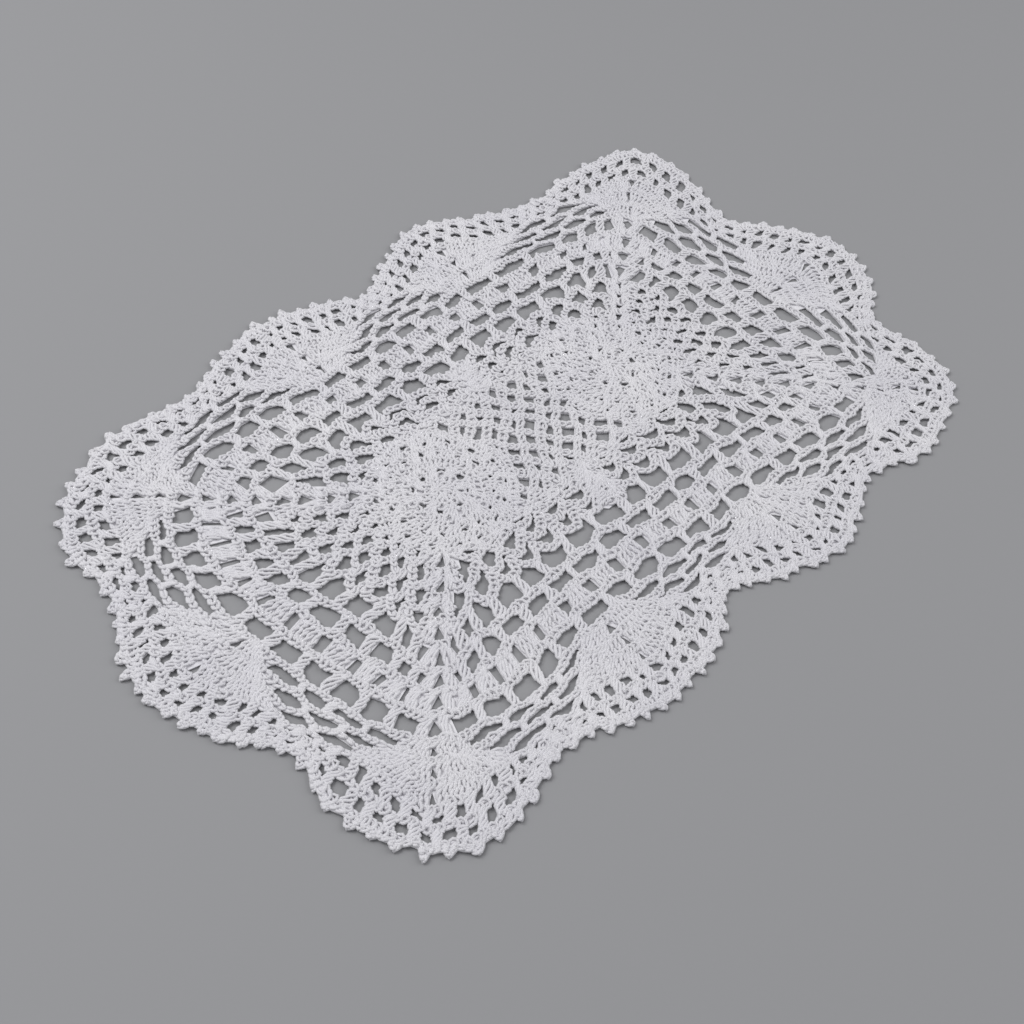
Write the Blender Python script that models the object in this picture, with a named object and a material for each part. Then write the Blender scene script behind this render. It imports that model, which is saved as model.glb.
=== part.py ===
"""Crochet lace placemat, lying flat: one crocheted piece with a scalloped, picoted rim.

The mat is worked outward in rounds. Two round motifs lie side by side, loop rounds
surround both, four straight rounds of posts and blocks follow, then three fan rounds,
two mesh rounds and a rim with picots. The solid is the mat's true outline as a sheet
of its real thickness, with its larger gaps cut through.
"""
import math

import bpy
import numpy as np

MM = 0.001

# Driving sizes in millimetres
THICKNESS = 2.8
POST_WIDTH = 3.2
CORD_WIDTH = 2.8
MESH_POST_WIDTH = 2.8
MESH_CORD_WIDTH = 2.4
MOTIF_RADIUS = 31.0
NET_DEPTH = 8.6
NET_PITCH = 12.5
PICOT_HEIGHT = 3.0
LEAST_GAP = 3.6

# Lines outside the straight rounds, as shares of the way from foot to rim: the mean top
# of the fans, how far it bulges at fans and nooks, how much more at fans than at nooks,
# the depth of the edge band, and how much deeper that is in a scallop's middle
FANS_SHARE = 0.54
FANS_BULGE = 0.075
FANS_CROWN = 0.02
EDGE_SHARE = 0.19
EDGE_CROWN = 0.06

# Share of a cell's height by which its inner side dips between two loops
PEAK_DIP = 0.2

# Counts of the pattern
SCALLOPS = 10
PLACES_ROUND = 2 * SCALLOPS
CELLS_BETWEEN_PLACES = 3
MESH_CELLS = 14
FAN_SIDE_CELLS = (4, 3, 2)
NET_ARC_CELLS = (5, 4, 3)

# The rounds, numbered by their inner line
LOOP_ROUNDS = (0, 1, 2, 3)
INNER_HOLE_ROUND = 4
SECOND_HOLE_ROUND = 5
BLOCK_ROUND = 6
OUTER_HOLE_ROUND = 7
FAN_ROUNDS = (8, 9, 10)
MESH_ROUNDS = (11, 12)
RIM_LINE = 14

# One row for each place round the mat, anticlockwise from the right-hand fan, in
# millimetres from the mat's centre. Fans and nooks take turns. Rim is the edge there,
# side is the edge halfway to the next place, foot is the outer line of the straight
# rounds and core is their inner line.
PLACES = (
    # place          rim           side          foot         core
    ("right fan", (212, -13), (196, 17), (150, -13), (107, -10)),
    ("nook", (178, 38), (188, 72), (145, 28), (107, 25)),
    ("top right fan", (182, 104), (150, 114), (136, 71), (97, 41)),
    ("nook", (101, 110), (72, 121), (103, 83), (84, 51)),
    ("top fan", (43, 132), (14, 124), (38, 87), (37, 52.5)),
    ("nook", (-9, 111.5), (-33, 119.5), (-10, 86), (-8, 51.5)),
    ("top fan", (-60, 127.5), (-88, 121), (-58, 83), (-56, 50)),
    ("nook", (-109, 111.5), (-148, 113), (-107, 86), (-98, 47.5)),
    ("top left fan", (-184, 99), (-198, 74), (-151, 72), (-122, 44)),
    ("nook", (-199, 46), (-209, 25), (-168, 43), (-127, 24)),
    ("left fan", (-214, 0), (-206, -28), (-170, 0), (-127, 0)),
    ("nook", (-190, -51), (-192, -80), (-163, -47), (-120, -38)),
    ("low left fan", (-178, -113), (-150, -124), (-146, -82), (-118, -54)),
    ("nook", (-112, -116.5), (-88, -124), (-106, -93), (-98, -50.5)),
    ("low fan", (-57, -131), (-28, -124.5), (-59, -87), (-58, -50)),
    ("nook", (-7, -112), (15, -123), (-8, -88), (-8, -49)),
    ("low fan", (45, -131.5), (73, -125.5), (38, -88), (39, -50)),
    ("nook", (94, -116), (131, -125), (88, -89), (82, -51.5)),
    ("low right fan", (173, -111), (182, -85), (138, -85), (102, -52)),
    ("nook", (180, -59), (202, -40), (150, -60), (107, -37)),
)
RIM_COLUMN, SIDE_COLUMN, FOOT_COLUMN, CORE_COLUMN = 1, 2, 3, 4

# Centres of the two round motifs
MOTIFS = ((-64, 2), (50, 4))

# How many gaps of each kind are cut, the largest first, 300 in all
GAPS_CUT = {
    "outer hole": 60,
    "second hole": 58,
    "inner hole": 51,
    "block gap": 26,
    "loop": 24,
    "fan side": 12,
    "mesh": 45,
    "net": 24,
}


def closed_curve(points):
    """A smooth closed line through the points, as a function that counts them."""
    knots = np.array(points, float)

    def at(t):
        t = np.atleast_1d(np.asarray(t, float)) % len(knots)
        index = t.astype(int)
        f = (t - index)[:, None]
        before, start, end, after = (knots[(index + k) % len(knots)] for k in (-1, 0, 1, 2))
        cubic = 3 * (start - end) + after - before
        square = 2 * before - 5 * start + 4 * end - after
        return start + 0.5 * f * (end - before + f * (square + f * cubic))

    return at


rim_curve = closed_curve([row[c] for row in PLACES for c in (RIM_COLUMN, SIDE_COLUMN)])
foot_curve = closed_curve([row[FOOT_COLUMN] for row in PLACES])
core_curve = closed_curve([row[CORE_COLUMN] for row in PLACES])


def heart_curve(t):
    """The long oval round both motifs, facing the core line."""
    outside = core_curve(t)
    left, right = (np.array(centre, float) for centre in MOTIFS)
    span = right - left
    along = np.clip((outside - left) @ span / (span @ span), 0, 1)[:, None]
    spine = left + along * span
    away = outside - spine
    return spine + MOTIF_RADIUS * away / np.linalg.norm(away, axis=1)[:, None]


def outer_share(level, t):
    """Share of the way from foot to rim at which a fan or mesh line lies."""
    crown = np.cos(math.pi * t)
    fans = FANS_SHARE + FANS_BULGE * np.cos(2 * math.pi * t) + FANS_CROWN * crown
    edge = EDGE_SHARE + EDGE_CROWN * np.maximum(0, crown) ** 3
    mesh = (1 - fans) * (1 - edge) / len(MESH_ROUNDS)
    if level <= MESH_ROUNDS[0]:
        return fans * (level - FAN_ROUNDS[0]) / len(FAN_ROUNDS)
    if level < RIM_LINE:
        return fans + mesh * (level - MESH_ROUNDS[0])
    return np.ones_like(t)


def on_line(level, t):
    """Points of a round's inner line at places t, counted as the rows of PLACES."""
    t = np.atleast_1d(np.asarray(t, float))
    if level <= INNER_HOLE_ROUND:
        share = level / INNER_HOLE_ROUND
        return heart_curve(t) * (1 - share) + core_curve(t) * share
    if level <= FAN_ROUNDS[0]:
        share = (level - INNER_HOLE_ROUND) / (FAN_ROUNDS[0] - INNER_HOLE_ROUND)
        return core_curve(t) * (1 - share) + foot_curve(t) * share
    share = outer_share(level, t)[:, None]
    return foot_curve(t) * (1 - share) + rim_curve(2 * t) * share


def even_places(level, start, end, count):
    """Places from start to end, evenly spaced along a line: count steps."""
    fine = np.linspace(start, end, 120)
    steps = np.linalg.norm(np.diff(on_line(level, fine), axis=0), axis=1)
    length = np.concatenate(([0.0], np.cumsum(steps)))
    return np.interp(np.linspace(0, length[-1], count + 1), length, fine)


def opening(corners, post, cord):
    """The clear gap inside four corners, and its least width."""
    a, b, c, d = corners
    across = (b - a + c - d) / 2
    up = (d - a + c - b) / 2
    width, height = np.linalg.norm(across), np.linalg.norm(up)
    dx = across / width * post / 2
    dy = up / height * cord / 2
    ring = [a + dx + dy, b - dx + dy, c - dx - dy, d + dx - dy]
    return ring, min(width - post, height - cord)


def cell_corners(level, start, end):
    """Corners of one cell of a round, inner side first."""
    inner = on_line(level, [start, end])
    outer = on_line(level + 1, [start, end])
    return inner[0], inner[1], outer[1], outer[0]


def straight_cells(level, shift, width_share=1.0):
    """Cells of a round whose posts stand at even places."""
    step = 1 / CELLS_BETWEEN_PLACES
    for k in range(PLACES_ROUND * CELLS_BETWEEN_PLACES):
        middle = (k + shift) * step
        half = step * width_share / 2
        yield cell_corners(level, middle - half, middle + half)


def square_gaps(level, shift):
    return [opening(cell, POST_WIDTH, CORD_WIDTH) for cell in straight_cells(level, shift)]


def peaked_gaps(level, shift):
    """Gaps whose inner side dips between two loops of the round before."""
    gaps = []
    for ring, width in square_gaps(level, shift):
        dip = (ring[0] + ring[1]) / 2 + PEAK_DIP * (ring[0] - ring[3])
        gaps.append(([ring[0], dip] + ring[1:], width))
    return gaps


def loop_gaps():
    """Gaps under the arched loops, staggered from round to round."""
    gaps = []
    for level in LOOP_ROUNDS:
        for a, b, c, d in straight_cells(level, 0.5 * ((level + 1) % 2)):
            ring, width = opening((a, b, c, d), POST_WIDTH, CORD_WIDTH)
            left = (ring[0] + ring[3]) / 2
            right = (ring[1] + ring[2]) / 2
            low = (ring[0] + ring[1]) / 2
            high = (ring[3] + ring[2]) / 2
            points = [left, (low * 2 + ring[0]) / 3, (low * 2 + ring[1]) / 3,
                      right, (high * 2 + ring[2]) / 3, (high * 2 + ring[3]) / 3]
            gaps.append((points, width))
    return gaps


def block_gaps():
    """Narrow gaps between the blocks of the block round."""
    cells = straight_cells(BLOCK_ROUND, 0.5, width_share=0.5)
    return [opening(cell, POST_WIDTH, CORD_WIDTH) for cell in cells]


def fan_side_gaps():
    """Slanted gaps on both sides of each nook, fewer in each fan round."""
    gaps = []
    for nook in range(1, PLACES_ROUND, 2):
        for level, count in zip(FAN_ROUNDS, FAN_SIDE_CELLS):
            edges = nook + (np.arange(count + 1) - count / 2) / CELLS_BETWEEN_PLACES
            for start, end in zip(edges[:-1], edges[1:]):
                corners = cell_corners(level, start, end)
                gaps.append(opening(corners, MESH_POST_WIDTH, MESH_CORD_WIDTH))
    return gaps


def mesh_gaps():
    """Every second gap of the outer mesh round."""
    gaps = []
    level = MESH_ROUNDS[1]
    for fan in range(0, PLACES_ROUND, 2):
        edges = even_places(level + 0.5, fan - 1, fan + 1, MESH_CELLS)
        for start, end in list(zip(edges[:-1], edges[1:]))[::2]:
            corners = cell_corners(level, start, end)
            gaps.append(opening(corners, MESH_POST_WIDTH, MESH_CORD_WIDTH))
    return gaps


def net_gaps():
    """Diamond gaps of the net that joins the motifs, in arcs round each of them."""
    gaps = []
    high = (NET_PITCH - CORD_WIDTH) / 2
    wide = (NET_DEPTH - CORD_WIDTH) / 2
    for centre, facing in zip(MOTIFS, (0.0, math.pi)):
        for arc, count in enumerate(NET_ARC_CELLS):
            radius = MOTIF_RADIUS + NET_DEPTH * (arc + 0.5)
            for k in range(count):
                angle = facing + (k - (count - 1) / 2) * NET_PITCH / radius
                out = np.array([math.cos(angle), math.sin(angle)])
                side = np.array([-out[1], out[0]])
                middle = centre + out * radius
                ring = [middle - side * high, middle + out * wide,
                        middle + side * high, middle - out * wide]
                gaps.append((ring, 2 * wide))
    return gaps


def largest(gaps, count):
    """The rings of the largest gaps, none narrower than the least gap."""
    wide = [gap for gap in gaps if gap[1] >= LEAST_GAP]
    wide.sort(key=lambda gap: gap[1], reverse=True)
    return [ring for ring, width in wide[:count]]


def all_gaps():
    kinds = {
        "outer hole": square_gaps(OUTER_HOLE_ROUND, 0.0),
        "second hole": square_gaps(SECOND_HOLE_ROUND, 0.0),
        "inner hole": peaked_gaps(INNER_HOLE_ROUND, 0.5),
        "block gap": block_gaps(),
        "loop": loop_gaps(),
        "fan side": fan_side_gaps(),
        "mesh": mesh_gaps(),
        "net": net_gaps(),
    }
    return [ring for kind, gaps in kinds.items() for ring in largest(gaps, GAPS_CUT[kind])]


def picot_outline():
    """The rim with one small point for each mesh cell."""
    outline = []
    for fan in range(0, PLACES_ROUND, 2):
        edges = even_places(RIM_LINE, fan - 1, fan + 1, MESH_CELLS)
        for start, end in zip(edges[:-1], edges[1:]):
            near = on_line(RIM_LINE, start + (end - start) * np.array([0.25, 0.5, 0.75]))
            along = near[2] - near[0]
            out = np.array([along[1], -along[0]]) / np.linalg.norm(along)
            outline += [near[0], near[1] + PICOT_HEIGHT * out, near[2]]
    return outline


def flat_sheet(name, rings, thickness):
    """A sheet with the middle of its underside at the origin: ring 0 is its outline."""
    outline = np.array(rings[0])
    middle = (outline.min(axis=0) + outline.max(axis=0)) / 2
    data = bpy.data.curves.new(name, 'CURVE')
    data.dimensions = '2D'
    data.fill_mode = 'BOTH'
    data.extrude = thickness / 2
    data.resolution_u = 1
    data.render_resolution_u = 0
    for ring in rings:
        spline = data.splines.new('POLY')
        spline.points.add(len(ring) - 1)
        spline.use_cyclic_u = True
        for corner, place in zip(spline.points, ring):
            x, y = (place - middle) * MM
            corner.co = (x, y, 0.0, 1.0)
    sheet = bpy.data.objects.new(name, data)
    sheet.location.z = thickness / 2
    return sheet


def cotton():
    """Matt white cotton thread with a faint cool tone."""
    material = bpy.data.materials.new("white_cotton")
    material.use_nodes = True
    shader = material.node_tree.nodes["Principled BSDF"]
    shader.inputs["Base Color"].default_value = (0.67, 0.66, 0.70, 1.0)
    shader.inputs["Roughness"].default_value = 0.9
    shader.inputs["Metallic"].default_value = 0.0
    shader.inputs["Sheen Weight"].default_value = 0.2
    return material


def main():
    for item in list(bpy.data.objects):
        bpy.data.objects.remove(item, do_unlink=True)
    collection = bpy.data.collections.new("crochet_lace_placemat")
    bpy.context.scene.collection.children.link(collection)
    mat = flat_sheet("lace_mat", [picot_outline()] + all_gaps(), THICKNESS * MM)
    mat.data.materials.append(cotton())
    collection.objects.link(mat)


main()
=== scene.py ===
import math

import bpy
import numpy as np
from mathutils import Euler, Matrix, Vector


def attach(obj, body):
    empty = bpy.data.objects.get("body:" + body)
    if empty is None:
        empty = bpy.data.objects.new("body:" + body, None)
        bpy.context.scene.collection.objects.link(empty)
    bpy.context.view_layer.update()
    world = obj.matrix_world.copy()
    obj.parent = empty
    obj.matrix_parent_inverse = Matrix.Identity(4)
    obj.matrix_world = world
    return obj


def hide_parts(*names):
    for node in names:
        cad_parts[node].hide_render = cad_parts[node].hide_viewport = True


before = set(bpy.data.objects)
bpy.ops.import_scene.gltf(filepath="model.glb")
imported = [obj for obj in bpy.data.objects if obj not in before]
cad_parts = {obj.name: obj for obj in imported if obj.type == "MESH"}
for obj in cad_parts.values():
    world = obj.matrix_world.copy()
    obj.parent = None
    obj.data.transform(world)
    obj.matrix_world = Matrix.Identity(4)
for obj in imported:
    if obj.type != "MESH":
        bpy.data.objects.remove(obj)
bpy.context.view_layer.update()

MM = 0.001

# Everything below is in millimetres, in the mat's own drawing, until settle() places it

# The thread, and the floor's colour
THREAD_RADIUS = 0.72
SIDES = 4
PLY_PITCH = 1.9
PLY_RELIEF = 0.35
THREAD_SHADE = (0.735, 0.725, 0.765, 1.0)
THREAD_LIGHT = (0.80, 0.79, 0.815, 1.0)
FLOOR_COLOUR = (0.30, 0.30, 0.31, 1.0)
# Thread coordinates start anywhere in this length, so that no two tubes look alike
THREAD_START = 50

# Chains: a row of links over two plain strands
LINK_PITCH = 2.75
CHAIN_LIFT = 0.20
CHAIN_WIDTH = 3.0
ARCH_WIDTH = 2.9
NET_WIDTH = 2.8
NOOK_WIDTH = 1.7
RIM_WIDTH = 1.6
PICOT_WIDTH = 0.9
CORD_REACH = 0.85
CORD_HEIGHT = 0.95
# How far inside the rim its chain lies
RIM_INSET = 1.0

# Posts: strands wound round each other
POST_MIDDLE = 1.16
POST_DEPTH = 0.48
POST_TURNS = 1.6
POST_STEPS = 10
DENSE_SPREAD = 0.60
EDGE_SPREAD = 0.7
NOOK_SPREAD = 1.3
MESH_SPREAD = 1.90
SINGLE_SPREAD = 1.95
SINGLE_STRANDS = 5
SINGLE_TURNS = 0.8
EDGE_TURNS = 0.6
EDGE_STEPS = 6
# Where posts start and end, outward from their round's two lines
POST_FOOT = -0.5
POST_HEAD = -0.2
# A post's width against its spread: at its ends, less in its middle, more at each knob
POST_ENDS = 1.08
POST_WAIST = 0.20
POST_KNOB = 0.16
# How many knobs a post has, and the angle at which its first strand starts
POST_KNOBS = 2.5
POST_START = 0.6

# How far handwork strays in place
POST_STRAY = 0.40
CHAIN_STRAY = 0.25
NOOK_STRAY = 0.20
LOOP_STRAY = 0.20
HEART_STRAY = 0.15
SHORT_STRAY = 0.10
KNOT_STRAY = 1.7
# How uneven links, cords, posts and picots are in width, place, height or turn
UNEVEN_LINK = 0.18
UNEVEN_ASIDE = 0.22
UNEVEN_LIFT = 0.10
UNEVEN_CORD = 0.25
UNEVEN_CORD_HEIGHT = 0.12
UNEVEN_TURN = 0.35
UNEVEN_POST = 0.12
UNEVEN_PICOT = 0.15

# The ground, a thin sheet inside the stitches, and the bars that its gaps leave
GROUND_LOW = 0.10
GROUND_THICKNESS = 0.6
GROUND_POST = 2.9
GROUND_CORD = 2.8
NOOK_CORD = 1.9
LOOP_INSET = 1.1
RIM_BAR = 0.3
LEAST_GAP_WIDTH = 1.0
LEAST_GAP_DEPTH = 0.8
LEAST_LOOP_GAP = 0.5
# How far settle() lifts everything off the floor
REST_HEIGHT = 0.10

# Counts of the pattern
SCALLOPS = 10
PLACES_ROUND = 2 * SCALLOPS
CELLS_BETWEEN_PLACES = 3
CELLS_ROUND = PLACES_ROUND * CELLS_BETWEEN_PLACES
MESH_CELLS = 14
FAN_SIDE_CELLS = (4, 3, 2)
CORNERS = (2, 8, 12, 18)
SPINES = (2, 5, 8, 12, 15, 18)
MIDDLE_SPINES = (5, 15)
LEAST_LOOPS = 5
BLOCK_POSTS = 5
EDGE_STITCHES = 3
LOOP_POINTS = 40
LOOP_GAP_POINTS = 17
LEAST_LOOP_POINTS = 4
DIP_POINTS = 7
SHELL_CHAIN_POINTS = 4
HEART_LINKS = 34
# Lines of the loop rounds beside the middle spines, and elsewhere
FEW_LOOP_LINES = (0, 1, 2.5, 4)
LOOP_LINES = (0, 1, 2, 3, 4)

# The rounds, numbered by their inner line
LOOP_ROUNDS = (0, 1, 2, 3)
INNER_HOLE_ROUND = 4
SECOND_HOLE_ROUND = 5
BLOCK_ROUND = 6
OUTER_HOLE_ROUND = 7
FAN_ROUNDS = (8, 9, 10)
MESH_ROUNDS = (11, 12)
EDGE_ROUND = 13
RIM_LINE = 14
NOOK_LINES = (8, 9, 10, 11)

# Shares of the way from foot to rim at which the fan and mesh lines lie
FANS_SHARE = 0.54
FANS_BULGE = 0.075
FANS_CROWN = 0.02
EDGE_SHARE = 0.16
EDGE_CROWN = 0.05

# Shapes of the loops, blocks and fans, in places or in shares of a loop or a cell
LOOP_FOOT = 0.05
LOOP_POWER = 2.3
LEAST_DIP = 0.60
BLOCK_HALF = 0.27
FAN_FOOT = 0.20
FAN_GAP = 0.035
HEART_REACH = 2.0
# Places from a fan's axis at which chains start to thin, and over which they do
NOOK_START = 0.35
NOOK_BLEND = 0.3

# Shapes of the fans and shells, in millimetres
FAN_PITCH = 2.4
SHELL_FEET = np.array([0.8, 1.5, 2.2])
SHELL_TOPS = np.array([4.1, 6.1, 8.0])
MIDDLE_SHELL_FEET = np.array([0.5, 1.2, 2.0, 2.8])
MIDDLE_SHELL_TOPS = np.array([1.6, 3.9, 6.2, 8.4])
SHELL_REACH = 6.0
SHELL_CHAIN_REACH = 3.9
# How far past a shell's reach the posts, blocks and block gaps of a round start
POSTS_CLEAR = 2.5
BLOCKS_CLEAR = 1.0
BLOCK_GAPS_CLEAR = 3.0
# Small gaps on the axes of shells and fans: half widths, and heights in shares
SHELL_GAP = 2.9
FAN_AXIS_GAP = 1.5
KITE_HEIGHTS = np.array([0.26, 0.76, 0.86, 0.76])
# The gaps beside a corner shell: from its last post at foot and top, and least widths
BESIDE_FOOT = 2.4
BESIDE_TOP = 1.2
LEAST_BESIDE_FOOT = 1.5
LEAST_BESIDE_TOP = 0.8

# A picot: along the rim in mm, and out of it in shares of its height
PICOT_HEIGHT = 3.0
PICOT_INSET = 0.6
PICOT = np.array([(-1.9, -0.1), (-1.1, 0.5), (0.0, 0.9), (1.1, 0.5), (1.9, -0.1)])

# One row for each place round the mat, anticlockwise from the right-hand fan
PLACES = (
    # place          rim           side          foot         core
    ("right fan", (212, -13), (196, 17), (150, -13), (107, -10)),
    ("nook", (178, 38), (188, 72), (145, 28), (107, 25)),
    ("top right fan", (182, 104), (150, 114), (136, 71), (97, 41)),
    ("nook", (101, 110), (72, 121), (103, 83), (84, 51)),
    ("top fan", (43, 132), (14, 124), (38, 87), (37, 52.5)),
    ("nook", (-9, 111.5), (-33, 119.5), (-10, 86), (-8, 51.5)),
    ("top fan", (-60, 127.5), (-88, 121), (-58, 83), (-56, 50)),
    ("nook", (-109, 111.5), (-148, 113), (-107, 86), (-98, 47.5)),
    ("top left fan", (-184, 99), (-198, 74), (-151, 72), (-122, 44)),
    ("nook", (-199, 46), (-209, 25), (-168, 43), (-127, 24)),
    ("left fan", (-214, 0), (-206, -28), (-170, 0), (-127, 0)),
    ("nook", (-190, -51), (-192, -80), (-163, -47), (-120, -38)),
    ("low left fan", (-178, -113), (-150, -124), (-146, -82), (-118, -54)),
    ("nook", (-112, -116.5), (-88, -124), (-106, -93), (-98, -50.5)),
    ("low fan", (-57, -131), (-28, -124.5), (-59, -87), (-58, -50)),
    ("nook", (-7, -112), (15, -123), (-8, -88), (-8, -49)),
    ("low fan", (45, -131.5), (73, -125.5), (38, -88), (39, -50)),
    ("nook", (94, -116), (131, -125), (88, -89), (82, -51.5)),
    ("low right fan", (173, -111), (182, -85), (138, -85), (102, -52)),
    ("nook", (180, -59), (202, -40), (150, -60), (107, -37)),
)
RIM_COLUMN, SIDE_COLUMN, FOOT_COLUMN, CORE_COLUMN = 1, 2, 3, 4

# The two round motifs: centres, size and how far each is turned
MOTIFS = np.array(((-64.0, 2.0), (50.0, 4.0)))
MOTIF_RADIUS = 31.0
MOTIF_TURNS = (0.1, 0.45)
MOTIF_EYE = 2.3
EYE_POINTS = 8
MOTIF_ROUNDS = (
    # inner  outer  groups  posts in each  share of the group that they fill  gap's half width
    (2.4, 8.4, 8, 2, 0.50, 0.0),
    (8.4, 14.2, 8, 4, 0.56, 2.3),
    (14.2, 19.8, 16, 3, 0.67, 0.0),
    (19.8, 25.4, 16, 4, 0.65, 1.8),
    (25.4, 31.0, 16, 5, 0.71, 1.7),
)
MOTIF_POST_TURNS = 1.3
MOTIF_POST_STEPS = 8
MOTIF_POST_FOOT = -0.6
# Width of a group of posts at its foot, as a share of its width at the top
MOTIF_FOOT_SHARE = 0.70
# A gap between two groups: where it starts, is widest and ends, in shares of the round
MOTIF_GAP = (0.15, 0.62, 0.82)

# The net between the motifs: steps, counts, how far it goes into them, and its gaps
NET_STEP = (5.2, 6.2)
NET_REACH = (9, 5)
NET_INTO_MOTIF = 4.5
NET_OPEN = 0.52
NET_MIDDLE = MOTIFS.mean(axis=0)

# Points at which a line's length is measured
FINE_POINTS = 120
COARSE_POINTS = 60

# Every run draws the same numbers
draw = np.random.default_rng(11)


def closed_curve(points):
    """A smooth closed line through the points, as a function that counts them."""
    knots = np.array(points, float)

    def at(t):
        t = np.atleast_1d(np.asarray(t, float)) % len(knots)
        index = t.astype(int)
        f = (t - index)[:, None]
        before, start, end, after = (knots[(index + k) % len(knots)] for k in (-1, 0, 1, 2))
        cubic = 3 * (start - end) + after - before
        square = 2 * before - 5 * start + 4 * end - after
        return start + 0.5 * f * (end - before + f * (square + f * cubic))

    return at


rim_curve = closed_curve([row[c] for row in PLACES for c in (RIM_COLUMN, SIDE_COLUMN)])
foot_curve = closed_curve([row[FOOT_COLUMN] for row in PLACES])
core_curve = closed_curve([row[CORE_COLUMN] for row in PLACES])


def unit(vectors):
    return vectors / np.linalg.norm(vectors, axis=-1, keepdims=True)


def heart_curve(t):
    """The long oval round both motifs, facing the core line."""
    outside = core_curve(t)
    left, right = MOTIFS
    span = right - left
    along = np.clip((outside - left) @ span / (span @ span), 0, 1)[:, None]
    spine = left + along * span
    return spine + MOTIF_RADIUS * unit(outside - spine)


def outer_share(level, t):
    """Share of the way from foot to rim at which a fan or mesh line lies."""
    crown = np.cos(math.pi * t)
    fans = FANS_SHARE + FANS_BULGE * np.cos(2 * math.pi * t) + FANS_CROWN * crown
    edge = EDGE_SHARE + EDGE_CROWN * np.maximum(0, crown) ** 3
    mesh = (1 - fans) * (1 - edge) / len(MESH_ROUNDS)
    if level <= MESH_ROUNDS[0]:
        return fans * (level - FAN_ROUNDS[0]) / len(FAN_ROUNDS)
    if level <= EDGE_ROUND:
        return fans + mesh * (level - MESH_ROUNDS[0])
    inner = fans + mesh * len(MESH_ROUNDS)
    return inner + (1 - inner) * (level - EDGE_ROUND)


def plain_line(level, t):
    """Points of the even line between two rounds, at places t."""
    t = np.atleast_1d(np.asarray(t, float))
    if level <= INNER_HOLE_ROUND:
        share = level / INNER_HOLE_ROUND
        return heart_curve(t) * (1 - share) + core_curve(t) * share
    if level <= FAN_ROUNDS[0]:
        share = (level - INNER_HOLE_ROUND) / (FAN_ROUNDS[0] - INNER_HOLE_ROUND)
        return core_curve(t) * (1 - share) + foot_curve(t) * share
    share = outer_share(level, t)[:, None]
    return foot_curve(t) * (1 - share) + rim_curve(2 * t) * share


def outward(level, t):
    low, high = max(level - 0.5, 0), min(level + 0.5, RIM_LINE)
    return unit(plain_line(high, t) - plain_line(low, t))


def even_places(level, start, end, count):
    """Places from start to end, evenly spaced along a line: count steps."""
    fine = np.linspace(start, end, FINE_POINTS)
    steps = np.linalg.norm(np.diff(plain_line(level, fine), axis=0), axis=1)
    length = np.concatenate(([0.0], np.cumsum(steps)))
    return np.interp(np.linspace(0, length[-1], count + 1), length, fine)


def line_length(level, start, end):
    points = plain_line(level, np.linspace(start, end, COARSE_POINTS))
    return np.linalg.norm(np.diff(points, axis=0), axis=1).sum()


FANS = range(0, PLACES_ROUND, 2)
NOOKS = range(1, PLACES_ROUND, 2)
mesh_places = np.array([even_places(MESH_ROUNDS[1] + 0.5, fan - 1, fan + 1, MESH_CELLS)
                        for fan in FANS])


def mesh_count(t):
    """Places counted in mesh cells, whole where the outer mesh posts stand."""
    fan = 2 * np.floor((t + 1) / 2)
    scallop = (np.round(fan / 2) % SCALLOPS).astype(int)
    shifted = t - fan + 2 * scallop
    counted = [np.interp(x, mesh_places[k], np.arange(MESH_CELLS + 1))
               for x, k in zip(shifted, scallop)]
    return np.array(counted)


# How far a chain bows outward between its posts, and where those posts stand: at whole
# cells or at half ones, and how near the nook a fan round has cells at all
BOWS = {
    # line: (bow in mm, posts at whole cells, reach from the nook in places)
    5: (0.9, True, 2.0),
    6: (0.5, False, 2.0),
    7: (0.8, True, 2.0),
    8: (0.8, False, 2.0),
    9: (1.3, True, 2 / 3),
    10: (1.3, False, 1 / 2),
    11: (1.2, True, 1 / 3),
}
MESH_BOW = 0.7


def bow(level, t):
    if level in BOWS:
        height, whole, reach = BOWS[level]
        wave = np.sin if whole else np.cos
        near = np.abs(t % 2 - 1) < reach
        return height * wave(math.pi * CELLS_BETWEEN_PLACES * t) ** 2 * near
    if level == MESH_ROUNDS[1]:
        return MESH_BOW * np.cos(math.pi * mesh_count(t)) ** 2
    if level == EDGE_ROUND:
        return MESH_BOW * np.sin(math.pi * mesh_count(t)) ** 2
    return np.zeros_like(t)


def on_line(level, t, past=0.0):
    """Points of a worked line at places t, and past it outward by some millimetres."""
    t = np.atleast_1d(np.asarray(t, float))
    return plain_line(level, t) + outward(level, t) * (bow(level, t) + past)[:, None]


# A chain link seen from above: an open loop whose closed end lies over the next one's
# legs. Along is in pitches, across and up in millimetres.
LINK = np.array((
    # along  across   up
    (-0.34, -0.16, 0.58),
    (0.10, -0.48, 0.86),
    (0.60, -0.60, 1.28),
    (1.04, -0.26, 1.62),
    (1.04, 0.26, 1.62),
    (0.60, 0.60, 1.28),
    (0.10, 0.48, 0.86),
    (-0.34, 0.16, 0.58),
))


def stray(shape, size):
    """Random numbers up to a size, either way."""
    return draw.uniform(-size, size, shape)


def chain(points, lift=CHAIN_LIFT, width=CHAIN_WIDTH):
    """Links along a line of points, one between each two."""
    points = np.asarray(points, float)
    step = points[1:] - points[:-1]
    across = unit(np.stack([-step[:, 1], step[:, 0]], axis=1))
    wide = (width * (1 + stray(len(step), UNEVEN_LINK)))[:, None, None]
    aside = stray(len(step), UNEVEN_ASIDE)[:, None, None]
    flat = (points[:-1, None] + step[:, None] * LINK[None, :, :1]
            + across[:, None] * (LINK[None, :, 1:2] * wide + aside))
    up = LINK[None, :, 2] + lift + stray(len(step), UNEVEN_LIFT)[:, None]
    return np.concatenate([flat, up[:, :, None]], axis=2)


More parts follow.
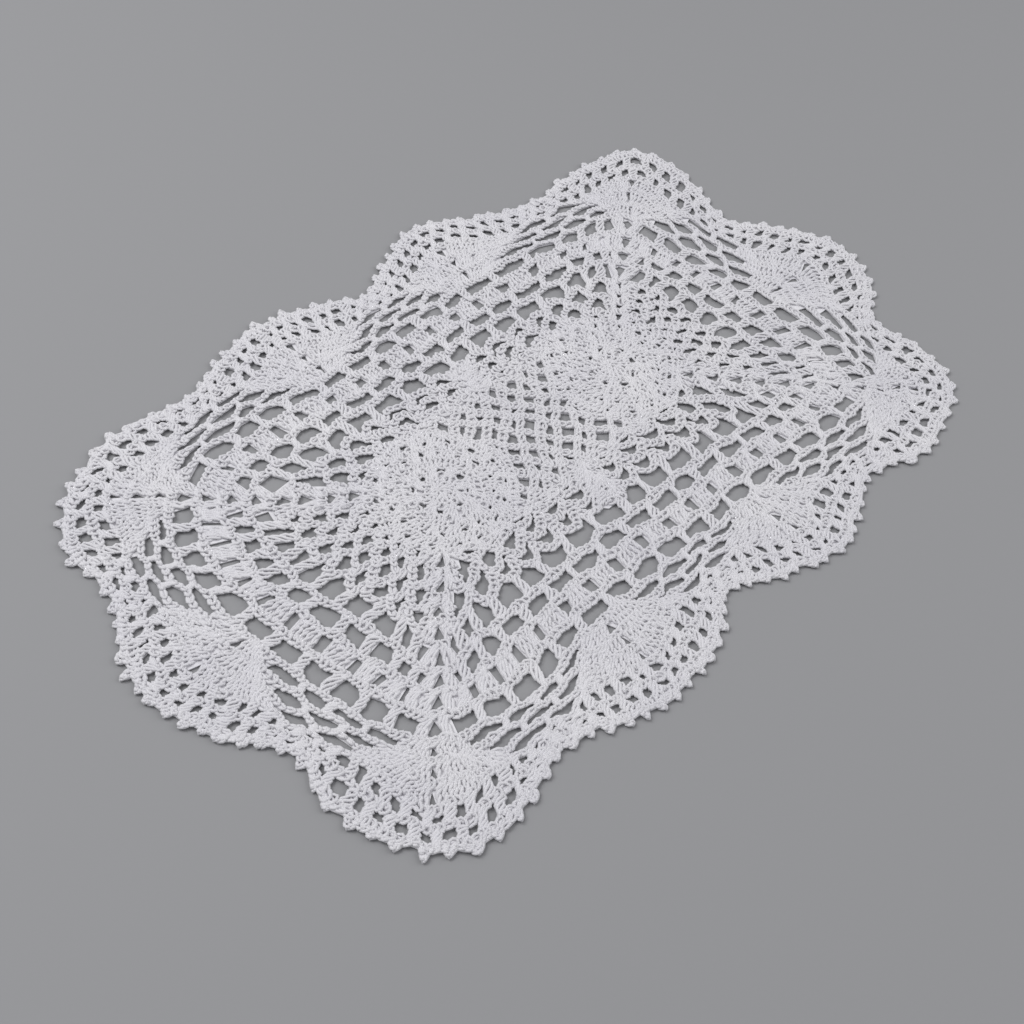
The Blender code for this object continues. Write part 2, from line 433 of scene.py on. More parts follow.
def posts(bases, tops, turns=POST_TURNS, steps=POST_STEPS, spread=DENSE_SPREAD, strands=2):
    """Strands wound round each other for each post, from base to top."""
    bases, tops = np.atleast_2d(bases), np.atleast_2d(tops)
    count = len(bases)
    run = tops - bases
    across = unit(np.stack([-run[:, 1], run[:, 0]], axis=1))
    share = np.linspace(0, 1, steps)
    start = POST_START + stray(count, UNEVEN_TURN)
    slip = stray(count, UNEVEN_POST)
    knobs = (draw.uniform(0, 2 * math.pi, count)[:, None]
             + 2 * math.pi * POST_KNOBS * share[None])
    paths = []
    for strand in range(strands):
        angle = (start[:, None] + 2 * math.pi * strand / strands
                 + 2 * math.pi * turns * share[None])
        waist = POST_ENDS - POST_WAIST * np.sin(math.pi * share) + POST_KNOB * np.cos(knobs)
        aside = spread * np.cos(angle) * waist
        flat = (bases[:, None] + run[:, None] * share[None, :, None]
                + across[:, None] * (aside + slip[:, None])[:, :, None])
        up = POST_MIDDLE + POST_DEPTH * np.sin(angle)
        paths.append(np.concatenate([flat, up[:, :, None]], axis=2))
    return np.concatenate(paths)


def cords(points, reach):
    """Two plain strands along a line, under the links."""
    points = np.asarray(points, float)
    along = unit(np.gradient(points, axis=0))
    across = np.stack([-along[:, 1], along[:, 0]], axis=1)
    strands = []
    for side in (-1, 1):
        aside = side * reach + stray(len(points), UNEVEN_CORD)
        up = CORD_HEIGHT + stray(len(points), UNEVEN_CORD_HEIGHT)
        strands.append(np.column_stack([points + across * aside[:, None], up]))
    return np.array(strands)


def full_chain(points, width=CHAIN_WIDTH):
    return [chain(points, width=width), cords(points, CORD_REACH)]


def jitter(points, size=POST_STRAY):
    return points + stray(points.shape, size)


def post_row(level, base_places, top_places, **shape):
    """Posts of a round, from a little inside its inner line to just short of its outer."""
    bases = on_line(level, base_places, past=POST_FOOT)
    tops = on_line(level + 1, top_places, past=POST_HEAD)
    return posts(jitter(bases), jitter(tops), **shape)


def single_posts(level, places, spread=SINGLE_SPREAD):
    """Thicker posts that stand alone, upright on their line."""
    return post_row(level, places, places, spread=spread, strands=SINGLE_STRANDS,
                    turns=SINGLE_TURNS)


def chain_round(level):
    """The chain along a whole line, scallop by scallop, thinner beside the nooks."""
    groups = []
    for fan in FANS:
        count = round(line_length(level, fan - 1, fan + 1) / LINK_PITCH)
        places = even_places(level, fan - 1, fan + 1, count)
        if level == RIM_LINE:
            points = on_line(level, places, past=-RIM_INSET)
            groups += full_chain(jitter(points, CHAIN_STRAY), RIM_WIDTH)
        elif level in NOOK_LINES:
            near = np.clip((np.abs(places - fan) - NOOK_START) / NOOK_BLEND, 0, 1)
            points = jitter(on_line(level, places), NOOK_STRAY)
            width = CHAIN_WIDTH + (NOOK_WIDTH - CHAIN_WIDTH) * near
            groups.append(chain(points, width=width[:-1]))
            groups.append(cords(points, CORD_REACH * width / CHAIN_WIDTH))
        else:
            groups += full_chain(jitter(on_line(level, places), CHAIN_STRAY))
    return groups


def cell_places(shift):
    step = 1 / CELLS_BETWEEN_PLACES
    return (np.arange(CELLS_ROUND) + shift) * step


def millimetres_a_place(level, t):
    step = 0.02
    ahead, behind = plain_line(level, [t + step, t - step])
    return np.linalg.norm(ahead - behind) / (2 * step)


def short_way(places):
    """A difference of places, taken the short way round the mat."""
    return (places + SCALLOPS) % PLACES_ROUND - SCALLOPS


def from_corner(level, places):
    """Millimetres along a line to the nearest corner."""
    away = [np.abs(short_way(places - corner)) * millimetres_a_place(level, corner)
            for corner in CORNERS]
    return np.min(away, axis=0)


def shell_posts(level, spine, feet, tops):
    """Posts that spread from the foot of a shell, with a small gap on its axis."""
    side = np.concatenate([-feet[::-1], feet])
    bases = spine + side / millimetres_a_place(level, spine)
    side = np.concatenate([-tops[::-1], tops])
    ends = spine + side / millimetres_a_place(level + 1, spine)
    return post_row(level, bases, ends)


def spine_shells():
    """A line of shells outward from the motifs at each corner and in the middle."""
    groups = []
    for level in range(FAN_ROUNDS[0]):
        for corner in CORNERS:
            groups.append(shell_posts(level, corner, SHELL_FEET, SHELL_TOPS))
    for level in LOOP_ROUNDS:
        for spine in MIDDLE_SPINES:
            groups.append(shell_posts(level, spine, MIDDLE_SHELL_FEET, MIDDLE_SHELL_TOPS))
        for spine in SPINES:
            reach = SHELL_CHAIN_REACH / millimetres_a_place(level + 1, spine)
            across = np.linspace(spine - reach, spine + reach, SHELL_CHAIN_POINTS)
            groups.append(chain(jitter(plain_line(level + 1, across), SHORT_STRAY)))
    return groups


def loop_sides():
    """The stretches from spine to spine, each as the rounds of loops on it.

    A round is its inner line, its outer line and the places between its loops."""
    sides = []
    for start, end in zip(SPINES, SPINES[1:] + (SPINES[0] + PLACES_ROUND,)):
        few = start in MIDDLE_SPINES or end in MIDDLE_SPINES
        lines = FEW_LOOP_LINES if few else LOOP_LINES
        rounds = []
        for count, (low, high) in enumerate(zip(lines[:-1], lines[1:]), LEAST_LOOPS):
            middle = (low + high) / 2
            first = start + SHELL_REACH / millimetres_a_place(middle, start)
            last = end - SHELL_REACH / millimetres_a_place(middle, end)
            rounds.append((low, high, even_places(middle, first, last, count)))
        sides.append(rounds)
    return sides


def arch_height(share):
    """Height of a loop over its round's inner line, 1 at its top."""
    return LOOP_FOOT + (1 - LOOP_FOOT) * (1 - np.abs(2 * share - 1) ** LOOP_POWER)


def between_lines(level, t, height, outer=None):
    """Points at shares of the way from a line to the next one, or to the outer one."""
    height = np.asarray(height)[:, None]
    beyond = level + 1 if outer is None else outer
    return plain_line(level, t) * (1 - height) + plain_line(beyond, t) * height


def loop_heights(edges, places):
    """Height of a round's loops at places: 1 at their tops and beside them."""
    places = (places - edges[0]) % PLACES_ROUND + edges[0]
    cell = np.interp(places, edges, np.arange(len(edges)))
    return np.where(places < edges[-1], arch_height(cell % 1), 1.0)


def core_dip(places):
    """Points on the outer side of the last round of loops."""
    points = plain_line(INNER_HOLE_ROUND, places)
    for rounds in loop_sides():
        low, high, edges = rounds[-1]
        heights = np.maximum(LEAST_DIP, loop_heights(edges, places))[:, None]
        dipped = plain_line(low, places) * (1 - heights) + plain_line(high, places) * heights
        points = np.where(heights < 1, dipped, points)
    return points


def regular_places(level, shift):
    places = cell_places(shift)
    return places[from_corner(level + 0.5, places) > SHELL_REACH + POSTS_CLEAR]


def hole_posts():
    """The single posts of the three rounds of square holes."""
    places = regular_places(INNER_HOLE_ROUND, 0.0)
    tops = on_line(SECOND_HOLE_ROUND, places, past=POST_HEAD)
    groups = [posts(jitter(core_dip(places)), jitter(tops), spread=SINGLE_SPREAD,
                    strands=SINGLE_STRANDS, turns=SINGLE_TURNS)]
    for level in (SECOND_HOLE_ROUND, OUTER_HOLE_ROUND):
        groups.append(single_posts(level, regular_places(level, 0.5)))
    return groups


def block_posts():
    """Blocks of posts, a narrow gap between each two."""
    spots = np.linspace(-BLOCK_HALF, BLOCK_HALF, BLOCK_POSTS) / CELLS_BETWEEN_PLACES
    middles = cell_places(0.0)
    places = (middles[:, None] + spots[None]).ravel()
    places = places[from_corner(BLOCK_ROUND + 0.5, places) > SHELL_REACH + BLOCKS_CLEAR]
    return [post_row(BLOCK_ROUND, places, places)]


def fan_posts():
    """Dense fans that widen outward, with a small gap on the axis."""
    groups = []
    inner_reach = FAN_FOOT
    for level, cells in zip(FAN_ROUNDS, FAN_SIDE_CELLS):
        reach = 1 - cells / 2 / CELLS_BETWEEN_PLACES
        for fan in FANS:
            width = line_length(level + 1, fan - reach, fan + reach)
            count = 2 * round(width / FAN_PITCH / 2)
            tops = even_places(level + 1, fan - reach, fan + reach, count - 1)
            side = np.sign(tops - fan)
            tops = tops + side * FAN_GAP * (1 - np.abs(tops - fan) / reach)
            bases = fan + (tops - fan) * inner_reach / reach
            groups.append(post_row(level, bases, tops))
        inner_reach = reach
    return groups


def fan_side_posts():
    """Single posts round the nooks, staggered from round to round."""
    groups = []
    for level, cells in zip(FAN_ROUNDS, FAN_SIDE_CELLS):
        for nook in NOOKS:
            edges = nook + (np.arange(1, cells) - cells / 2) / CELLS_BETWEEN_PLACES
            groups.append(single_posts(level, edges, NOOK_SPREAD))
    return groups


def mesh_posts():
    """Posts of the two mesh rounds, the inner ones between the outer ones."""
    groups = []
    count = np.arange(MESH_CELLS + 1)
    for places in mesh_places:
        between = np.interp(count[:-1] + 0.5, count, places)
        groups.append(single_posts(MESH_ROUNDS[0], between, MESH_SPREAD))
        groups.append(single_posts(MESH_ROUNDS[1], places[:-1], MESH_SPREAD))
    return groups


def edge_stitches():
    """Short stitches along the rim, a few to a mesh cell."""
    groups = []
    for fan in FANS:
        places = even_places(RIM_LINE, fan - 1, fan + 1, EDGE_STITCHES * MESH_CELLS)[:-1]
        groups.append(post_row(EDGE_ROUND, places, places, turns=EDGE_TURNS,
                               steps=EDGE_STEPS, spread=EDGE_SPREAD))
    return groups


def picots():
    """A small ring of links standing out of the rim at each mesh cell."""
    groups = []
    for fan in FANS:
        edges = even_places(RIM_LINE, fan - 1, fan + 1, MESH_CELLS)
        middles = (edges[:-1] + edges[1:]) / 2
        centres = on_line(RIM_LINE, middles, past=-PICOT_INSET)
        outs = outward(RIM_LINE, middles)
        alongs = np.stack([-outs[:, 1], outs[:, 0]], axis=1)
        for centre, out, along in zip(centres, outs, alongs):
            wide, tall = 1 + stray(2, UNEVEN_PICOT)
            ring = (centre + PICOT[:, :1] * wide * along
                    + PICOT[:, 1:] * PICOT_HEIGHT * tall * out)
            groups.append(chain(ring, lift=0.0, width=PICOT_WIDTH))
    return groups


def loops():
    """Rounds of chain loops, each loop caught in the middle of the one before."""
    groups = []
    for low, high, edges in [one for rounds in loop_sides() for one in rounds]:
        for start, end in zip(edges[:-1], edges[1:]):
            share = np.linspace(0, 1, LOOP_POINTS)
            path = between_lines(low, start + share * (end - start), arch_height(share), high)
            run = np.linalg.norm(np.diff(path, axis=0), axis=1)
            length = np.concatenate(([0.0], np.cumsum(run)))
            links = round(length[-1] / LINK_PITCH)
            even = np.interp(np.linspace(0, length[-1], links + 1), length, share)
            path = between_lines(low, start + even * (end - start), arch_height(even), high)
            groups += full_chain(jitter(path, LOOP_STRAY), ARCH_WIDTH)
    return groups


def motif_stitches():
    """Two round motifs of radial posts in rounds, with small gaps between the groups."""
    groups = []
    for centre, turned in zip(MOTIFS, MOTIF_TURNS):
        def at(radius, angle):
            return centre + radius * np.stack([np.cos(angle), np.sin(angle)], axis=-1)

        groups.append(chain(at(MOTIF_EYE, np.linspace(0, 2 * math.pi, EYE_POINTS))))
        for row, (inner, outer, count, each, filled, _) in enumerate(MOTIF_ROUNDS):
            middles = (np.arange(count) + 0.5 * (row % 2)) * 2 * math.pi / count + turned
            spots = np.linspace(-0.5, 0.5, each) * filled * 2 * math.pi / count
            angles = (middles[:, None] + spots[None]).ravel()
            narrow = (middles[:, None] + MOTIF_FOOT_SHARE * spots[None]).ravel()
            feet = jitter(at(inner + MOTIF_POST_FOOT, narrow))
            heads = jitter(at(outer, angles))
            groups.append(posts(feet, heads, turns=MOTIF_POST_TURNS, steps=MOTIF_POST_STEPS))
            links = round(2 * math.pi * outer / LINK_PITCH)
            ring = at(outer, np.linspace(0, 2 * math.pi, links + 1))
            groups.append(chain(jitter(ring, SHORT_STRAY)))
    return groups


def net_knot(i, j):
    """A knot of the net, pushed off the motifs, or None well inside one of them."""
    knot = NET_MIDDLE + np.array(NET_STEP) * (i, j)
    for centre in MOTIFS:
        away = np.linalg.norm(knot - centre)
        if away < MOTIF_RADIUS - NET_INTO_MOTIF:
            return None
        if away < MOTIF_RADIUS:
            knot = centre + (knot - centre) * MOTIF_RADIUS / away
    return knot


def all_net_knots():
    """The net's knots, a little uneven, by their counts from its middle."""
    knots = {}
    for i in range(-NET_REACH[0], NET_REACH[0] + 1):
        for j in range(-NET_REACH[1], NET_REACH[1] + 1):
            knot = net_knot(i, j)
            if knot is not None:
                knots[i, j] = jitter(knot, KNOT_STRAY)
    return knots


net_knots = all_net_knots()


def net():
    """Slanting chains between the motifs, leaving diamonds."""
    groups = []
    for (i, j), start in net_knots.items():
        for end in (net_knots.get((i + 1, j - 1)), net_knots.get((i + 1, j + 1))):
            if (i + j) % 2 == 1 and end is not None:
                links = max(2, round(np.linalg.norm(end - start) / LINK_PITCH))
                share = np.linspace(0, 1, links + 1)[:, None]
                groups += full_chain(start + (end - start) * share, NET_WIDTH)
    return groups


def heart_chain():
    """The chain over and under the net, from motif to motif."""
    groups = []
    for spine in MIDDLE_SPINES:
        places = even_places(0, spine - HEART_REACH, spine + HEART_REACH, HEART_LINKS)
        groups += full_chain(jitter(plain_line(0, places), HEART_STRAY))
    return groups


def gap_ring(level, start, end, post=GROUND_POST, cord=GROUND_CORD):
    """A gap between two posts of a round, inside the ground's narrow bars."""
    middle = (start + end) / 2
    width = np.linalg.norm(on_line(level + 0.5, start) - on_line(level + 0.5, end))
    if width < post + LEAST_GAP_WIDTH:
        return None
    inset = (end - start) * post / 2 / width
    places = np.array([start + inset, middle, end - inset])
    if level == INNER_HOLE_ROUND:
        dipped = np.linspace(start + inset, end - inset, DIP_POINTS)
        inner = core_dip(dipped) + cord / 2 * outward(level, dipped)
    else:
        inner = on_line(level, places, past=cord / 2)
    outer = on_line(level + 1, places, past=-cord / 2)
    if np.linalg.norm(outer[1] - inner[len(inner) // 2]) < LEAST_GAP_DEPTH:
        return None
    return np.concatenate([inner, outer[::-1]])


def loop_depth(one, places):
    low, high, _ = one
    return np.linalg.norm(plain_line(high, places) - plain_line(low, places), axis=1)


def loop_ring(one, before, start, end):
    """The gap of one loop, down to the two loops that it is caught in."""
    places = np.linspace(start, end, LOOP_GAP_POINTS + 2)[1:-1]
    line, edges = one[0], one[2]
    top = loop_depth(one, places) * loop_heights(edges, places) - LOOP_INSET
    low = np.full(len(places), LOOP_INSET)
    if before is not None:
        low -= loop_depth(before, places) * (1 - loop_heights(before[2], places))
    clear = top - low > LEAST_LOOP_GAP
    if clear.sum() < LEAST_LOOP_POINTS:
        return None
    places, low, top = places[clear], low[clear], top[clear]
    out = outward(line, places)
    points = plain_line(line, places)
    return np.concatenate([points + out * low[:, None], (points + out * top[:, None])[::-1]])


def shell_ring(level, spine, reach):
    """The small gap on the axis of a shell or fan: a kite that widens outward."""
    side = reach / millimetres_a_place(level + 1, spine)
    places = spine + side * np.array([0.0, 1.0, 0.0, -1.0])
    return between_lines(level, places, KITE_HEIGHTS)


def net_rings():
    """The diamonds of the net."""
    rings = []
    for i, j in net_knots:
        around = [net_knots.get(key) for key in ((i - 1, j), (i, j + 1), (i + 1, j), (i, j - 1))]
        if (i + j) % 2 == 0 and all(knot is not None for knot in around):
            ring = np.array(around)
            rings.append(ring.mean(axis=0) + NET_OPEN * (ring - ring.mean(axis=0)))
    return rings


def motif_rings():
    """A small gap between each two groups of a motif's outer rounds."""
    rings = []
    for centre, turned in zip(MOTIFS, MOTIF_TURNS):
        for row, (inner, outer, count, _, _, gap) in enumerate(MOTIF_ROUNDS):
            if gap == 0:
                continue
            angles = (np.arange(count) + 0.5 * (row % 2) + 0.5) * 2 * math.pi / count + turned
            near, wide, far = (inner + share * (outer - inner) for share in MOTIF_GAP)
            for angle in angles:
                out = np.array([math.cos(angle), math.sin(angle)])
                side = np.array([-out[1], out[0]]) * gap
                rings.append(centre + np.array([out * near, out * wide - side,
                                                out * far, out * wide + side]))
    return rings


def beside_shell_ring(level, corner, side, places):
    """The gap between a corner shell and the first post beside it."""
    speeds = [millimetres_a_place(level + k, corner) for k in (0, 0.5, 1)]
    away = short_way(side * (places - corner))
    post = away[away > 0].min() - GROUND_POST / 2 / speeds[1]
    foot = (SHELL_FEET[-1] + BESIDE_FOOT) / speeds[0]
    top = (SHELL_TOPS[-1] + BESIDE_TOP) / speeds[2]
    narrow_foot = (post - foot) * speeds[0] < LEAST_BESIDE_FOOT
    if narrow_foot or (post - top) * speeds[2] < LEAST_BESIDE_TOP:
        return None
    height = np.linalg.norm(plain_line(level + 1, corner) - plain_line(level, corner))
    cord = GROUND_CORD / 2 / height
    heights = np.array([cord, cord, 1 - cord, 1 - cord])
    return between_lines(level, corner + side * np.array([foot, post, post, top]), heights)


def hole_rings():
    """The holes of the three straight rounds, and the gaps of the block round."""
    rings = []
    half = 0.5 / CELLS_BETWEEN_PLACES
    same_place = 0.01
    for level, shift in ((INNER_HOLE_ROUND, 0.0), (SECOND_HOLE_ROUND, 0.5),
                         (OUTER_HOLE_ROUND, 0.5)):
        places = regular_places(level, shift)
        for start in places:
            away = short_way(places - start - 2 * half)
            if np.abs(away).min() < same_place:
                rings.append(gap_ring(level, start, start + 2 * half))
        for corner in CORNERS:
            rings += [beside_shell_ring(level, corner, side, places) for side in (-1, 1)]
    block_edge = BLOCK_HALF / CELLS_BETWEEN_PLACES
    for middle in cell_places(0.5):
        if from_corner(BLOCK_ROUND + 0.5, middle) > SHELL_REACH + BLOCK_GAPS_CLEAR:
            rings.append(gap_ring(BLOCK_ROUND, middle - half + block_edge,
                                  middle + half - block_edge))
    return rings


def loop_rings():
    """The gaps of the loops round the motifs."""
    rings = []
    for rounds in loop_sides():
        for before, one in zip([None] + rounds, rounds):
            edges = one[2]
            for start, end in zip(edges[:-1], edges[1:]):
                rings.append(loop_ring(one, before, start, end))
    return rings


def fan_rings():
    """The gaps on the axes of shells and fans, and the cells round the nooks."""
    rings = []
    for corner in CORNERS:
        for level in range(FAN_ROUNDS[0]):
            rings.append(shell_ring(level, corner, SHELL_GAP))
    for level in FAN_ROUNDS:
        for fan in FANS:
            rings.append(shell_ring(level, fan, FAN_AXIS_GAP))
    for level, cells in zip(FAN_ROUNDS, FAN_SIDE_CELLS):
        for nook in NOOKS:
            edges = nook + (np.arange(cells + 1) - cells / 2) / CELLS_BETWEEN_PLACES
            for start, end in zip(edges[:-1], edges[1:]):
                rings.append(gap_ring(level, start, end, NOOK_CORD, NOOK_CORD))
    return rings


def mesh_rings():
    """The cells of the two mesh rounds."""
    rings = []
    for places in mesh_places:
        between = (places[:-1] + places[1:]) / 2
        between = np.append(between, 2 * places[-1] - between[-1])
        for start, end in zip(between[:-1], between[1:]):
            rings.append(gap_ring(MESH_ROUNDS[0], start, end))
        for start, end in zip(places[:-1], places[1:]):
            rings.append(gap_ring(MESH_ROUNDS[1], start, end))
    return rings


def ground_rings():
    """All the gaps of the ground."""
    rings = net_rings() + motif_rings() + hole_rings() + loop_rings() + fan_rings()
    return [ring for ring in rings + mesh_rings() if ring is not None]


def rim_outline():
    places = [even_places(RIM_LINE, fan - 1, fan + 1, 2 * MESH_CELLS)[:-1]
              for fan in FANS]
    return on_line(RIM_LINE, np.concatenate(places), past=-RIM_BAR)


def picot_outline():
    """The rim with its picots, whose box is centred on the frame's origin."""
    outline = []
    for fan in FANS:
        edges = even_places(RIM_LINE, fan - 1, fan + 1, MESH_CELLS)
        for start, end in zip(edges[:-1], edges[1:]):
            near = plain_line(RIM_LINE, start + (end - start) * np.array([0.25, 0.5, 0.75]))
            along = near[2] - near[0]
            out = np.array([along[1], -along[0]]) / np.linalg.norm(along)
            outline += [near[0], near[1] + PICOT_HEIGHT * out, near[2]]
    return np.array(outline)


outline = picot_outline()
drawing_middle = (outline.min(axis=0) + outline.max(axis=0)) / 2

# Slow waves by which handwork strays from the drawing
WAVES = (
    # wavelength x, y   size in plan   phase   height
    (61.0, 83.0, 0.50, 0.4, 0.12),
    (37.0, 49.0, 0.45, 2.1, 0.10),
    (23.0, -31.0, 0.40, 4.4, 0.06),
    (-17.0, 19.0, 0.40, 1.3, 0.04),
    (11.5, 14.5, 0.40, 3.0, 0.0),
    (-9.5, 12.5, 0.28, 5.2, 0.0),
)


def settle(points):
    """Places drawn points in the frame: strays them a little and lays them down."""
    x, y, z = points[..., 0], points[..., 1], points[..., 2]
    dx, dy, dz = np.zeros_like(x), np.zeros_like(x), np.full_like(x, REST_HEIGHT)
    for wide, tall, size, phase, height in WAVES:
        turn = 2 * math.pi * (x / wide + y / tall) + phase
        dx += size * np.sin(turn)
        dy += size * np.cos(turn * 0.9 + phase)
        dz += height * (1 + np.sin(turn * 0.5 + 2 * phase)) / 2
    placed = np.stack([x + dx - drawing_middle[0], y + dy - drawing_middle[1], z + dz], axis=-1)
    return placed * MM


def thread_mesh(name, groups):
    """One mesh of closed tubes, one along each path, with thread coordinates as UVs."""
    corners, faces, uvs = [], [], []
    start = 0
    around = 2 * math.pi * np.arange(SIDES) / SIDES
    by_length = {}
    for group in groups:
        by_length.setdefault(group.shape[1], []).append(group)
    for steps, same in sorted(by_length.items()):
        paths = settle(np.concatenate(same))
        tangent = unit(np.gradient(paths, axis=1))
        side = unit(np.cross(tangent, [0.0, 0.0, 1.0]))
        above = np.cross(side, tangent)
        ring = (side[:, :, None] * np.cos(around)[:, None]
                + above[:, :, None] * np.sin(around)[:, None])
        tube = paths[:, :, None] + THREAD_RADIUS * MM * ring
        count = len(paths)
        index = start + np.arange(count * steps * SIDES).reshape(count, steps, SIDES)
        start += index.size
        corners.append(tube.reshape(-1, 3))
        turned = np.roll(index, -1, axis=2)
        quads = np.stack([index[:, :-1], turned[:, :-1], turned[:, 1:], index[:, 1:]], axis=-1)
        faces += quads.reshape(-1, 4).tolist()
        faces += index[:, 0, ::-1].tolist() + index[:, -1].tolist()
        run = np.linalg.norm(np.diff(paths, axis=1), axis=2)
        length = np.concatenate([np.zeros((count, 1)), np.cumsum(run, axis=1)], axis=1) / MM
        length = length + draw.uniform(0, THREAD_START, count)[:, None]
        shape = (count, steps - 1, SIDES)
        near = np.broadcast_to(length[:, :-1, None], shape)
        far = np.broadcast_to(length[:, 1:, None], shape)
        low = np.broadcast_to(np.arange(SIDES) / SIDES, shape)
        high = low + 1 / SIDES
        quad_uvs = np.stack([near, low, near, high, far, high, far, low], axis=-1)
        cap_uvs = np.zeros(2 * count * SIDES * 2)
        uvs += [quad_uvs.reshape(-1), cap_uvs]
    mesh = bpy.data.meshes.new(name)
    mesh.from_pydata(np.concatenate(corners).tolist(), [], faces, shade_flat=False)
    layer = mesh.uv_layers.new(name="thread")
    layer.uv.foreach_set("vector", np.concatenate(uvs).astype(np.float32))
    piece = bpy.data.objects.new(name, mesh)
    bpy.context.scene.collection.objects.link(piece)
    return piece


def ground_sheet(name):
    """The ground as a thin closed sheet."""
    data = bpy.data.curves.new(name, 'CURVE')
    data.dimensions = '2D'
    data.fill_mode = 'BOTH'
    data.extrude = GROUND_THICKNESS * MM / 2
    for ring in [rim_outline()] + ground_rings():
        spline = data.splines.new('POLY')
        spline.points.add(len(ring) - 1)
        spline.use_cyclic_u = True
        placed = settle(np.column_stack([ring, np.zeros(len(ring))]))
        for corner, place in zip(spline.points, placed):
            corner.co = (place[0], place[1], 0.0, 1.0)
    curve = bpy.data.objects.new(name, data)
    bpy.context.scene.collection.objects.link(curve)
    graph = bpy.context.evaluated_depsgraph_get()
    mesh = bpy.data.meshes.new_from_object(curve.evaluated_get(graph))
    bpy.data.objects.remove(curve)
    sheet = bpy.data.objects.new(name, mesh)
    bpy.context.scene.collection.objects.link(sheet)
    places = np.zeros(len(mesh.vertices) * 3)
    mesh.vertices.foreach_get("co", places)
    places = places.reshape(-1, 3)
    flat = np.column_stack([places[:, :2] / MM + drawing_middle, np.zeros(len(places))])
    rise = settle(flat)[:, 2]
    places[:, 2] += rise + (GROUND_LOW + GROUND_THICKNESS / 2) * MM
    mesh.vertices.foreach_set("co", places.ravel())
    mesh.update()
    return sheet


def noise(tree, place, scale, detail):
    """A noise texture's output, over the object's own coordinates."""
    node = tree.nodes.new("ShaderNodeTexNoise")
    node.inputs["Scale"].default_value = scale
    node.inputs["Detail"].default_value = detail
    tree.links.new(place.outputs["Object"], node.inputs["Vector"])
    return node.outputs["Fac"]


def calculated(tree, operation, first, factor=None, added=None):
    """A Math node's output from another node's, with a factor and an added output."""
    node = tree.nodes.new("ShaderNodeMath")
    node.operation = operation
    tree.links.new(first, node.inputs[0])
    if factor is not None:
        node.inputs[1].default_value = factor
    if added is not None:
        tree.links.new(added, node.inputs[2])
    return node.outputs[0]


def cotton(name):
    """Matt off-white cotton: two plies wound round each other, fibres, faint blotches."""
    material = bpy.data.materials.new(name)
    material.use_nodes = True
    tree = material.node_tree
    shader = tree.nodes["Principled BSDF"]
    shader.inputs["Roughness"].default_value = 0.88
    shader.inputs["Specular IOR Level"].default_value = 0.25
    shader.inputs["Sheen Weight"].default_value = 0.25
    shader.inputs["Sheen Roughness"].default_value = 0.5

    uv = tree.nodes.new("ShaderNodeUVMap")
    uv.uv_map = "thread"
    split = tree.nodes.new("ShaderNodeSeparateXYZ")
    tree.links.new(uv.outputs["UV"], split.inputs[0])
    along, around = split.outputs["X"], split.outputs["Y"]
    turn = calculated(tree, 'MULTIPLY_ADD', along, 1 / PLY_PITCH, around)
    angle = calculated(tree, 'MULTIPLY', turn, 4 * math.pi)
    ply = calculated(tree, 'SINE', angle)

    place = tree.nodes.new("ShaderNodeTexCoord")
    fibres = noise(tree, place, 2600.0, 3.0)
    blotch = noise(tree, place, 28.0, 4.0)

    bump = tree.nodes.new("ShaderNodeBump")
    bump.inputs["Strength"].default_value = 0.7
    bump.inputs["Distance"].default_value = 0.00018
    relief = calculated(tree, 'MULTIPLY_ADD', ply, PLY_RELIEF, fibres)
    tree.links.new(relief, bump.inputs["Height"])
    tree.links.new(bump.outputs["Normal"], shader.inputs["Normal"])

    tone = tree.nodes.new("ShaderNodeValToRGB")
    tone.color_ramp.elements[0].position = 0.30
    tone.color_ramp.elements[0].color = THREAD_SHADE
    tone.color_ramp.elements[1].position = 0.72
    tone.color_ramp.elements[1].color = THREAD_LIGHT
    tree.links.new(blotch, tone.inputs["Fac"])
    tree.links.new(tone.outputs["Color"], shader.inputs["Base Color"])
    return material


def floor_finish():
    material = bpy.data.materials.new("pale_floor")
    material.use_nodes = True
    shader = material.node_tree.nodes["Principled BSDF"]
    shader.inputs["Base Color"].default_value = FLOOR_COLOUR
    shader.inputs["Roughness"].default_value = 0.8
    return material


def chain_rounds(*levels):
    return [group for level in levels for group in chain_round(level)]


def middle_net():
    return net() + heart_chain()


def hole_and_block_posts():
    return hole_posts() + block_posts() + spine_shells()


def hole_round_chains():
    return chain_rounds(SECOND_HOLE_ROUND, BLOCK_ROUND, OUTER_HOLE_ROUND, FAN_ROUNDS[0])


def all_fan_posts():
    return fan_posts() + fan_side_posts()


def fan_round_chains():
    return chain_rounds(FAN_ROUNDS[1], FAN_ROUNDS[2], MESH_ROUNDS[0])


def mesh_and_edge_posts():
    return mesh_posts() + edge_stitches()


def mesh_chains_and_picots():
    return chain_rounds(MESH_ROUNDS[1], EDGE_ROUND, RIM_LINE) + picots()


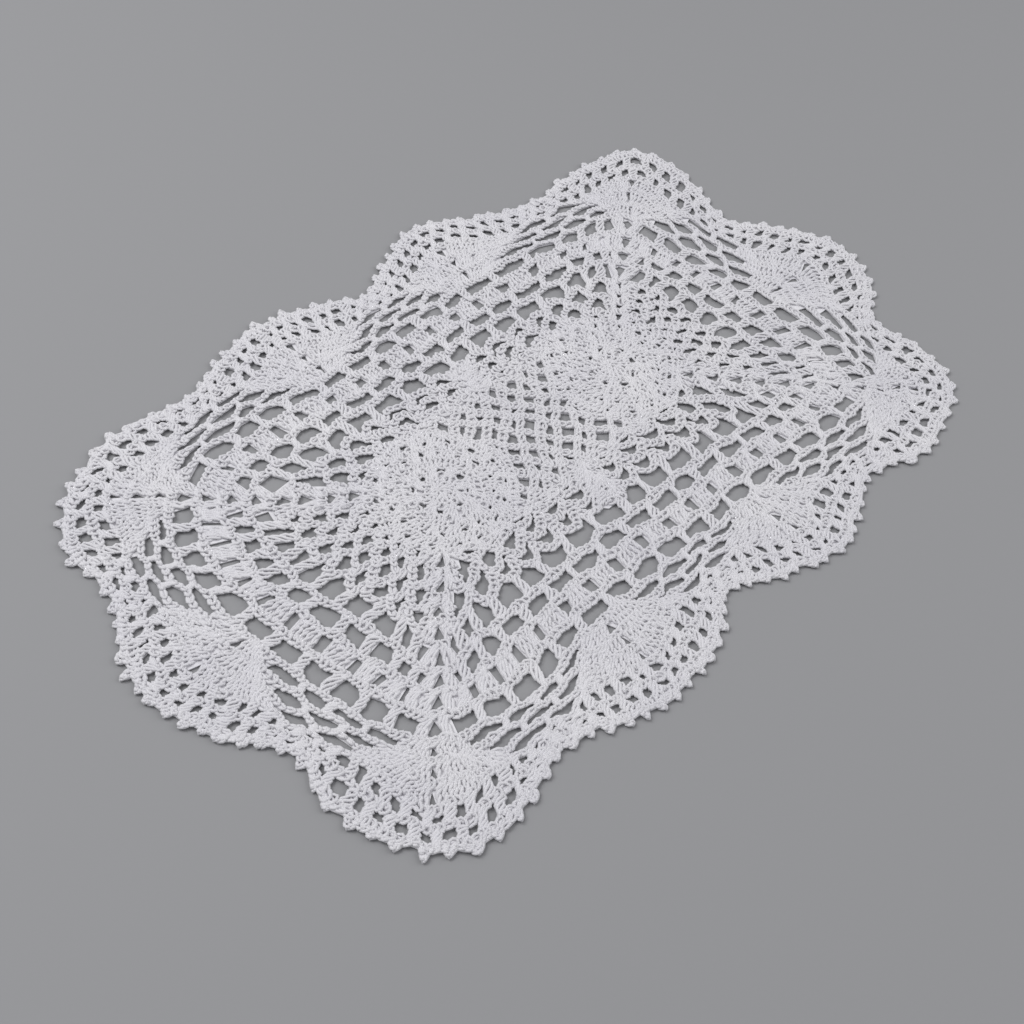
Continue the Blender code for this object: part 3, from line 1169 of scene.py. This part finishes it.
PIECES = {
    "motif_stitches": motif_stitches,
    "net": middle_net,
    "loops": loops,
    "hole_and_block_posts": hole_and_block_posts,
    "hole_round_chains": hole_round_chains,
    "fan_posts": all_fan_posts,
    "fan_round_chains": fan_round_chains,
    "mesh_posts": mesh_and_edge_posts,
    "mesh_chains_and_picots": mesh_chains_and_picots,
}

thread = cotton("cotton_thread")
ground = ground_sheet("ground")
ground.data.materials.append(thread)
stitches = []
for piece_name, make in PIECES.items():
    piece = thread_mesh(piece_name, make())
    piece.data.materials.append(thread)
    stitches.append(piece)

for piece in [ground] + stitches:
    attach(piece, "root")
    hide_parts("lace_mat")

# Floor, light and camera, in metres
bpy.ops.mesh.primitive_plane_add(size=6.0, location=(0, 0, 0))
floor = bpy.context.active_object
floor.name = "floor"
floor.data.materials.append(floor_finish())


def area_light(name, place, aim, side, power):
    data = bpy.data.lights.new(name, 'AREA')
    data.shape = 'SQUARE'
    data.size = side
    data.energy = power
    light = bpy.data.objects.new(name, data)
    light.location = place
    light.rotation_euler = (Vector(aim) - Vector(place)).to_track_quat('-Z', 'Y').to_euler()
    bpy.context.scene.collection.objects.link(light)


area_light("key", (-0.55, 0.75, 1.25), (0, 0, 0), 0.9, 13.0)
area_light("fill", (0.9, -0.6, 1.0), (0, 0, 0), 1.2, 6.0)
world = bpy.data.worlds.new("studio")
world.use_nodes = True
world.node_tree.nodes["Background"].inputs["Color"].default_value = (0.97, 0.98, 1.0, 1.0)
world.node_tree.nodes["Background"].inputs["Strength"].default_value = 0.44
bpy.context.scene.world = world

FRAME_PIXELS = 1024
FOCAL_PIXELS = 1290
camera_data = bpy.data.cameras.new("photo_view")
camera_data.sensor_width = 36.0
camera_data.lens = camera_data.sensor_width * FOCAL_PIXELS / FRAME_PIXELS
camera = bpy.data.objects.new("photo_view", camera_data)
camera_place = Vector((-0.3217, -0.2221, 0.4375))
camera_aim = Vector((-0.0464, -0.0251, 0.0))
turn = (camera_aim - camera_place).to_track_quat('-Z', 'Y')
roll = Euler((0.0, 0.0, math.radians(11.46))).to_quaternion()
camera.rotation_mode = 'QUATERNION'
camera.rotation_quaternion = turn @ roll
camera.location = camera_place
camera_data.clip_start = 0.01
bpy.context.scene.collection.objects.link(camera)
bpy.context.scene.camera = camera
bpy.context.scene.view_settings.view_transform = 'Standard'
